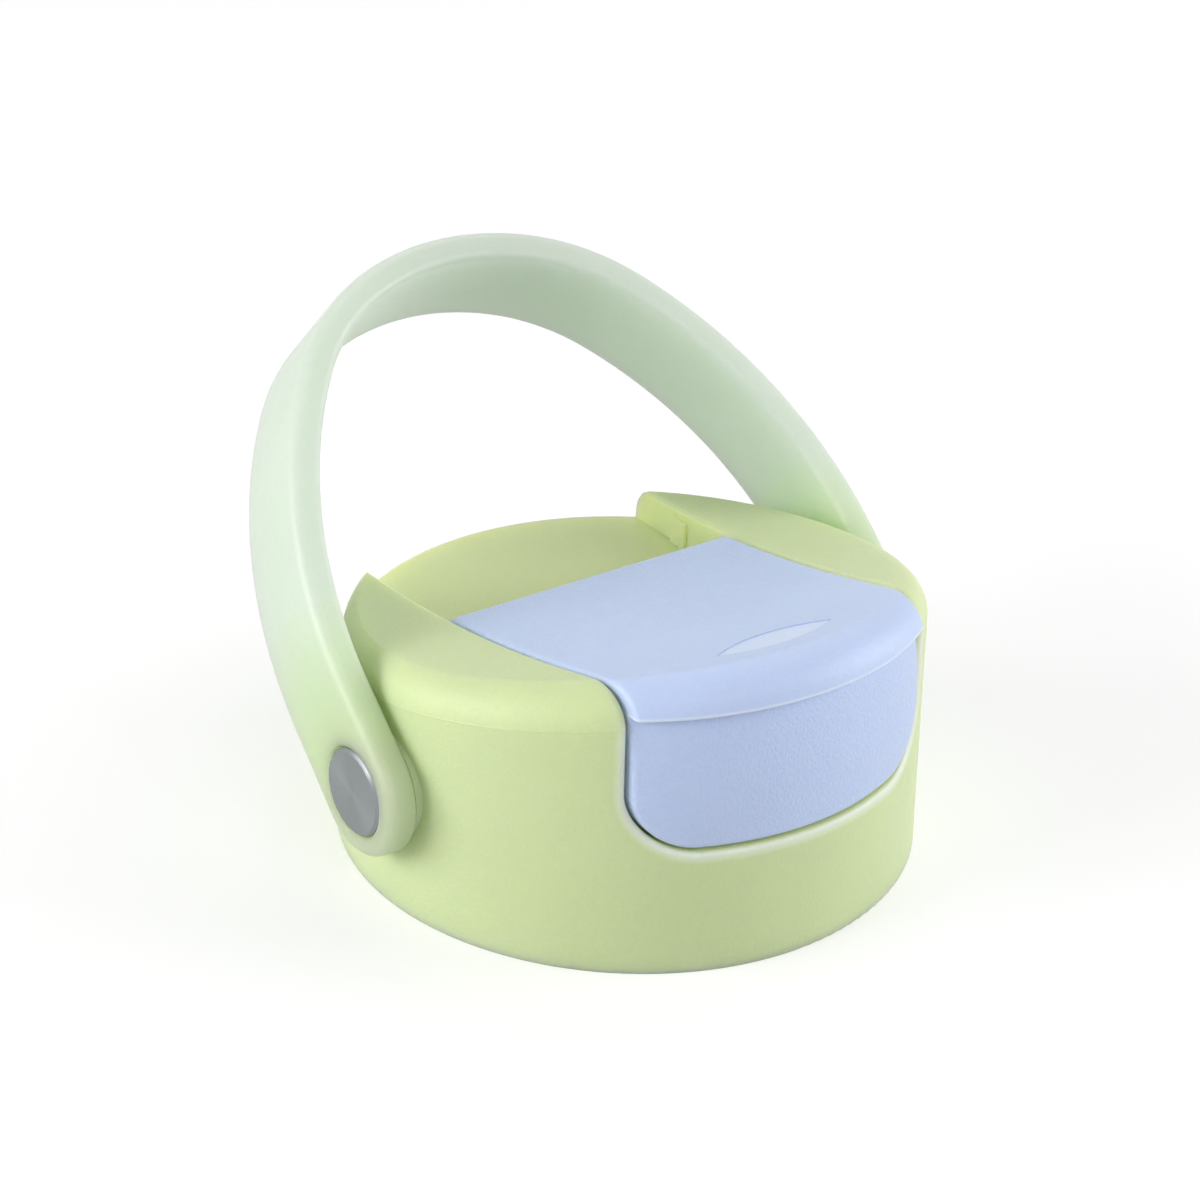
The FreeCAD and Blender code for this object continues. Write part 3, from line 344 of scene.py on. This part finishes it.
def steel_material(name, turned):
    """Bright steel; the rivet heads carry fine turning rings."""
    material, tree, shader = new_material(name)
    place = object_point(tree)
    shader.inputs["Base Color"].default_value = (*STEEL, 1)
    shader.inputs["Metallic"].default_value = 1.0
    rough_noise = noise(tree, place, STEEL_ROUGH_SCALE, 3)
    rough = spread(tree, rough_noise, *NOISE_RANGE, *STEEL_ROUGHNESS)
    tree.links.new(rough, shader.inputs["Roughness"])
    skin = bump(tree, shader, noise(tree, place, STEEL_GRAIN_SCALE, 2), STEEL_GRAIN)
    if turned:
        turns = calc(tree, "MULTIPLY", pivot_distance(tree, place), RING_COUNT)
        bump(tree, shader, calc(tree, "SINE", turns), RING_RISE, below=skin)
        shader.inputs["Anisotropic"].default_value = RING_SHEEN
        round_axis = add_node(tree, "ShaderNodeTangent", direction_type="RADIAL", axis="X")
        tree.links.new(round_axis.outputs["Tangent"], shader.inputs["Tangent"])
    return material


shell_plastic = shell_material()
lid_plastic = lid_material()
handle_elastomer = handle_material()
rivet_steel = steel_material("rivet_steel", True)
pin_steel = steel_material("pin_steel", False)
liner_plastic = moulded_plastic("liner_plastic", LINER_WHITE)[0]
silicone = moulded_plastic("silicone", SILICONE_CLEAR, roughness=0.5, glow=0.6)[0]
washer_plastic = moulded_plastic("washer_plastic", WASHER_WHITE)[0]

dress("cap_shell", shell_plastic)
dress("sip_lid", lid_plastic)
dress("handle", handle_elastomer)
for name in ("inner_cap", "spout", "lid_liner"):
    dress(name, liner_plastic)
for name in ("neck_gasket", "spout_seal", "vent_valve", "spout_plug"):
    dress(name, silicone)
dress("hinge_pin", pin_steel)
for side in ("left", "right"):
    dress("pivot_rivet_" + side, rivet_steel)
    dress("rivet_clip_" + side, pin_steel)
    dress("friction_washer_" + side, washer_plastic)
    dress("eye_bush_" + side, washer_plastic)


def seen_ray(tree):
    """One for rays that show the surroundings: in plain sight, in a gloss or through clear parts."""
    path = add_node(tree, "ShaderNodeLightPath")
    gloss = calc(tree, "MAXIMUM", path.outputs["Is Glossy Ray"], path.outputs["Is Transmission Ray"])
    return calc(tree, "MAXIMUM", path.outputs["Is Camera Ray"], gloss)


def make_floor():
    """Pale floor: lifted to white for the camera, while the soft shadow stays."""
    mesh = bpy.data.meshes.new("floor")
    corners = [(FLOOR_HALF * x, FLOOR_HALF * y, 0) for x, y in ((-1, -1), (1, -1), (1, 1), (-1, 1))]
    mesh.from_pydata(corners, [], [(0, 1, 2, 3)])
    floor = bpy.data.objects.new("floor", mesh)
    bpy.context.scene.collection.objects.link(floor)
    material, tree, shader = new_material("floor_white")
    shader.inputs["Base Color"].default_value = (FLOOR_GREY, FLOOR_GREY, FLOOR_GREY, 1)
    shader.inputs["Roughness"].default_value = FLOOR_ROUGHNESS
    shader.inputs["Specular IOR Level"].default_value = FLOOR_GLOSS
    shader.inputs["Emission Color"].default_value = (1, 1, 1, 1)
    lift = calc(tree, "MULTIPLY", seen_ray(tree), FLOOR_LIFT)
    tree.links.new(lift, shader.inputs["Emission Strength"])
    mesh.materials.append(material)


def make_light():
    """Large soft boxes round the cap."""
    for name, azimuth, elevation, distance, width, height, power in LIGHTS:
        data = bpy.data.lights.new(name, "AREA")
        data.shape = "RECTANGLE"
        data.size = width
        data.size_y = height
        data.energy = power
        lamp = bpy.data.objects.new(name, data)
        turn = Euler((math.radians(90 - elevation), 0, math.radians(90 + azimuth)))
        lamp.rotation_euler = turn
        lamp.location = LIGHT_CENTRE + turn.to_matrix() @ Vector((0, 0, distance))
        bpy.context.scene.collection.objects.link(lamp)


def make_world():
    """White surroundings: full white behind the object, weaker as light."""
    world = bpy.data.worlds.new("studio")
    bpy.context.scene.world = world
    world.use_nodes = True
    tree = world.node_tree
    tree.nodes.clear()
    output = tree.nodes.new("ShaderNodeOutputWorld")
    light = add_node(tree, "ShaderNodeBackground", Color=(1, 1, 1, 1), Strength=WORLD_LIGHT)
    seen = add_node(tree, "ShaderNodeBackground", Color=(1, 1, 1, 1), Strength=1.0)
    mix = tree.nodes.new("ShaderNodeMixShader")
    tree.links.new(seen_ray(tree), mix.inputs[0])
    tree.links.new(light.outputs[0], mix.inputs[1])
    tree.links.new(seen.outputs[0], mix.inputs[2])
    tree.links.new(mix.outputs[0], output.inputs["Surface"])


def make_camera():
    data = bpy.data.cameras.new("camera")
    data.sensor_width = SENSOR_MM
    data.lens = FOCAL_PIXELS / FRAME_PIXELS * SENSOR_MM
    data.clip_start = CAMERA_NEAR
    camera = bpy.data.objects.new("camera", data)
    place = CAMERA_TARGET + CAMERA_BACK * CAMERA_DISTANCE
    turn = Matrix((CAMERA_RIGHT, CAMERA_UP, CAMERA_BACK)).transposed()
    camera.matrix_world = Matrix.Translation(place) @ turn.to_4x4()
    bpy.context.scene.collection.objects.link(camera)
    bpy.context.scene.camera = camera


make_floor()
make_light()
make_world()
make_camera()
bpy.context.scene.view_settings.view_transform = "Standard"
